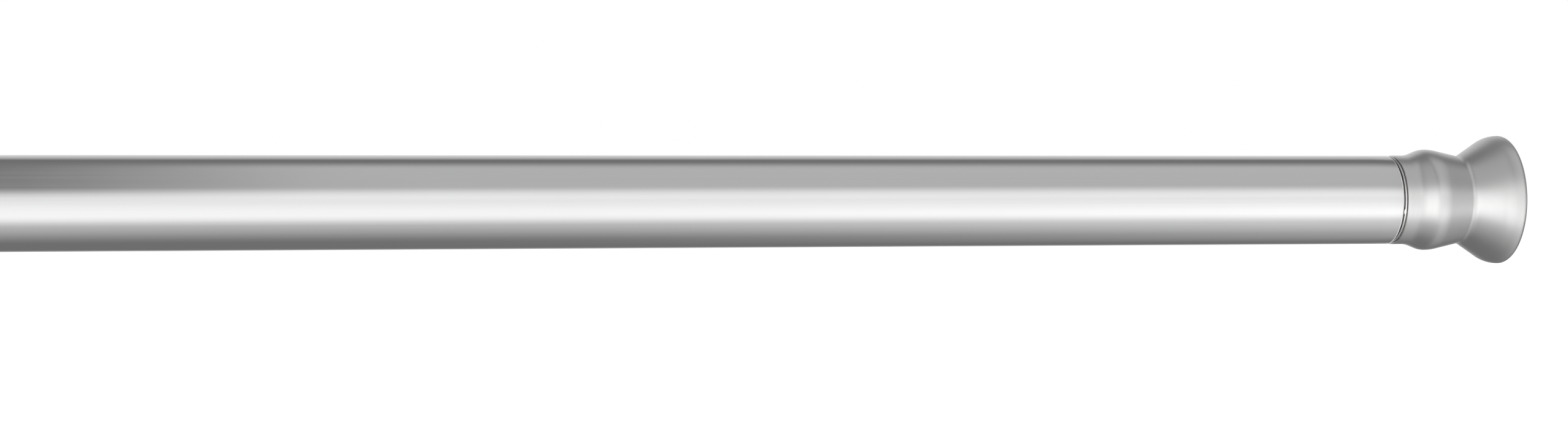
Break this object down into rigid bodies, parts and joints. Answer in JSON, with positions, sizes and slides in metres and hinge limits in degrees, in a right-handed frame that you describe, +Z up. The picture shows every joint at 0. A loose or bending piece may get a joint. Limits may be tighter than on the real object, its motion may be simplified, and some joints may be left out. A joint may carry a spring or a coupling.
{
  "type": "pull up bar",
  "caption": "Straight telescoping bar with a smooth satin metal tube that twists on an inner lead screw to press flared, rubber-faced end cups against door jambs.",
  "frame": {"origin": "middle of the bar on its axis, halfway between the two wall faces at the rest length", "axes": "+X along the bar to the swivel cup at the right end, +Z up"},
  "size_m": [0.712, 0.0466, 0.0466],
  "materials": {
    "tube_metal": "satin chrome plate with fine lengthwise polish",
    "inner_tube_metal": "satin chrome plate with light sliding wear",
    "cover_metal": "soft satin plate",
    "bright_ring": "bright thin ring",
    "rubber": "matt moulded rubber",
    "zinc_steel": "zinc plated",
    "turned_steel": "turned, oiled",
    "screw_steel": "rolled thread, greased",
    "hard_steel": "hardened, dark oxide",
    "bronze": "machined bronze",
    "pale_nylon": "moulded nylon",
    "dark_nylon": "moulded nylon"
  },
  "bodies": {
    "right_cup": {"right_wall_pad": "rubber", "right_pad_disc": "zinc_steel", "right_end_cover": "cover_metal", "right_cover_hub": "pale_nylon", "right_seam_ring": "bright_ring", "right_swivel_stud": "zinc_steel", "right_thrust_washer": "hard_steel", "right_stud_washer": "zinc_steel", "right_stud_clip": "hard_steel"},
    "turning_tube": {"outer_tube": "tube_metal", "right_swivel_plug": "turned_steel", "right_swivel_bush": "bronze", "screw_plug": "turned_steel", "screw_cross_pin": "hard_steel", "lead_screw": "screw_steel", "screw_anchor": "turned_steel", "screw_stop_washer": "zinc_steel", "screw_stop_bolt": "hard_steel", "mouth_collar": "cover_metal", "mouth_bush": "dark_nylon"},
    "sliding_tube": {"inner_tube": "inner_tube_metal", "lead_nut": "bronze", "lead_nut_pins": "hard_steel", "inner_guide_ring": "pale_nylon", "left_tube_plug": "turned_steel", "left_plug_pin": "hard_steel", "left_cap_bolt": "zinc_steel", "left_cover_hub": "pale_nylon", "left_end_cover": "cover_metal", "left_neck_ring": "dark_nylon", "left_pad_disc": "zinc_steel", "left_wall_pad": "rubber"}
  },
  "joints": [
    {"name": "bar_twist", "type": "hinge", "parent": "right_cup", "child": "turning_tube", "pos_m": [0, 0, 0], "axis": [1, 0, 0], "range_deg": [-4320, 7920]},
    {"name": "extension", "type": "slide", "parent": "right_cup", "child": "sliding_tube", "axis": [-1, 0, 0], "range_m": [-0.072, 0.132]}
  ],
  "couplings": [
    {"joint": "extension", "follows": "bar_twist", "m_per_rad": 0.00095493}
  ]
}
